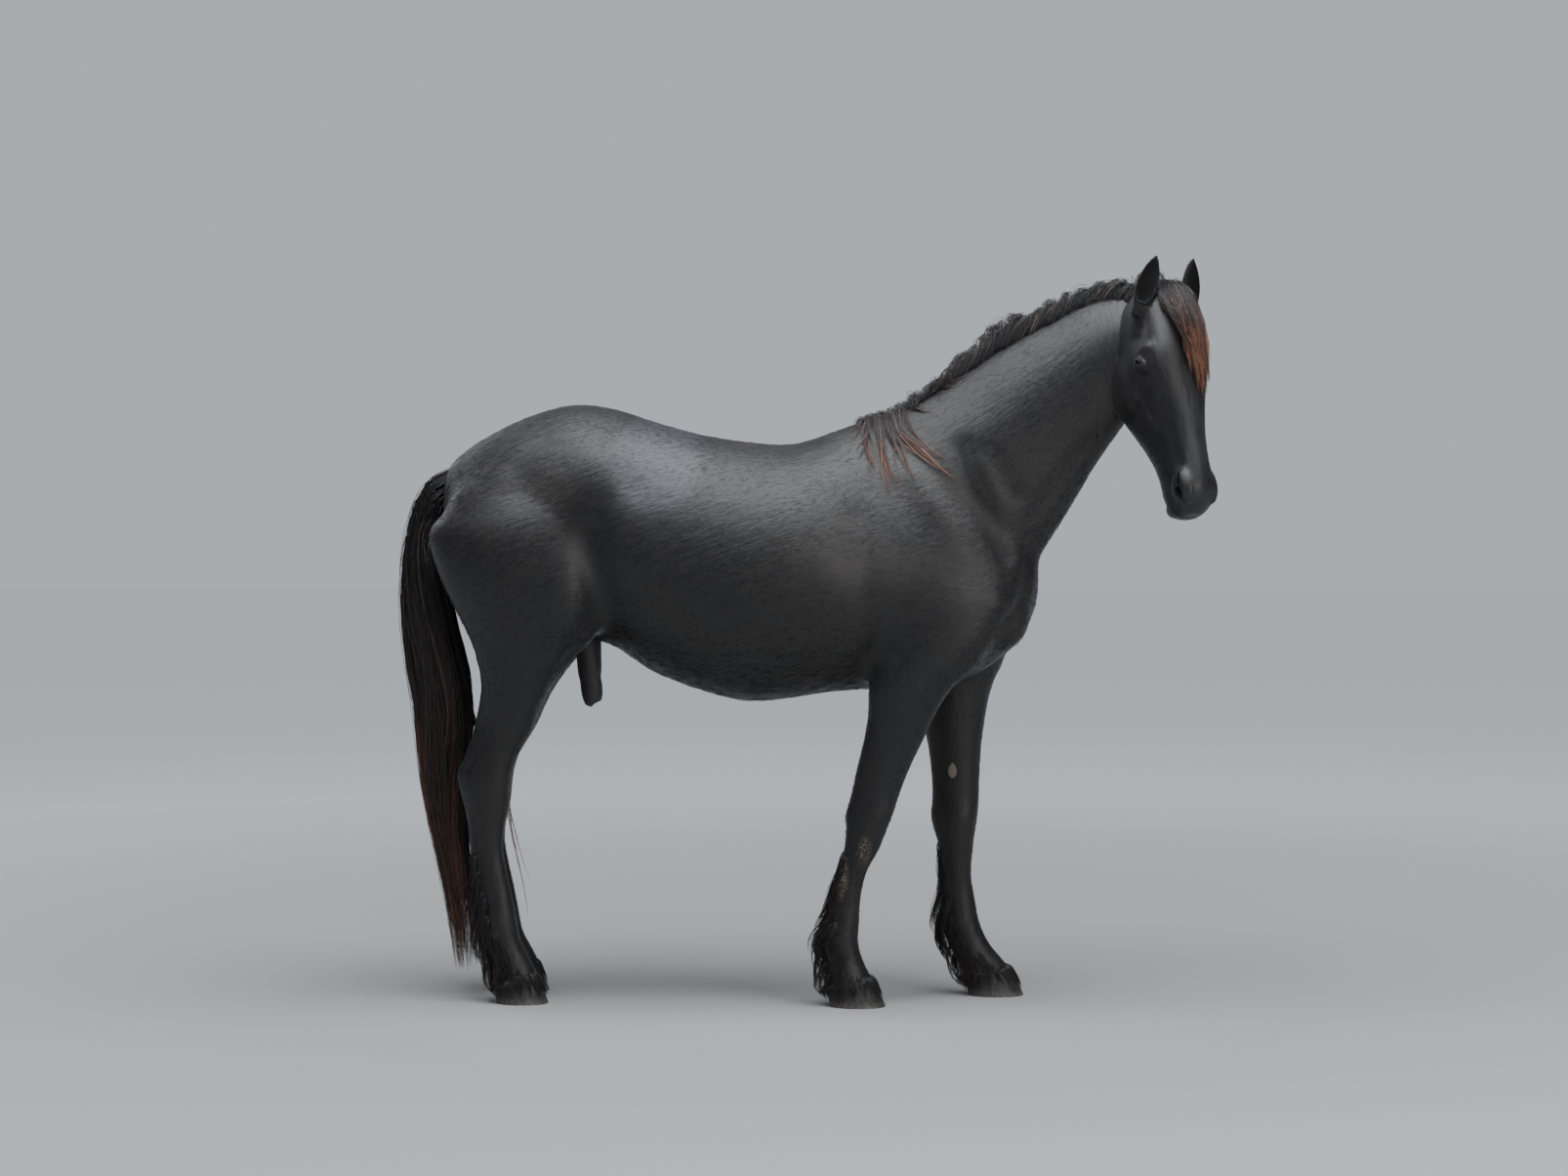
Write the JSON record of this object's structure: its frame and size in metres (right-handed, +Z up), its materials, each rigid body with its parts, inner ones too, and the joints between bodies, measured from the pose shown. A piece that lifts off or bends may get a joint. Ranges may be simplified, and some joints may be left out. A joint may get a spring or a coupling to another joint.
{
  "type": "friesian horse",
  "caption": "Life-size black horse with long mane, forelock, tail and feathered fetlocks, standing still with its head turned to its right.",
  "frame": {"origin": "on the floor, under the middle of the whole object's box", "axes": "+X from the tail towards the breast, +Y to the horse's left side, +Z up"},
  "size_m": [2.2376, 0.6584, 2.0376],
  "materials": {
    "coat": "short black hair with a blue-grey satin sheen",
    "long_hair": "long black-brown hair with reddish ends",
    "hoof_horn": "dark grey hoof horn, worn paler at the toe",
    "eye": "dark brown, wet and glossy",
    "bare_skin": "hairless dark grey skin"
  },
  "bodies": {
    "root": {"torso": "coat", "neck": "coat", "head": "coat", "ear_left": "coat", "ear_right": "coat", "eye_left": "eye", "eye_right": "eye", "foreleg_upper_left": "coat", "foreleg_upper_right": "coat", "foreleg_lower_left": "coat", "foreleg_lower_right": "coat", "hindleg_upper_left": "coat", "hindleg_upper_right": "coat", "hindleg_lower_left": "coat", "hindleg_lower_right": "coat", "hoof_fore_left": "hoof_horn", "hoof_fore_right": "hoof_horn", "hoof_hind_left": "hoof_horn", "hoof_hind_right": "hoof_horn", "sheath": "bare_skin", "tail": "long_hair"}
  },
  "joints": []
}
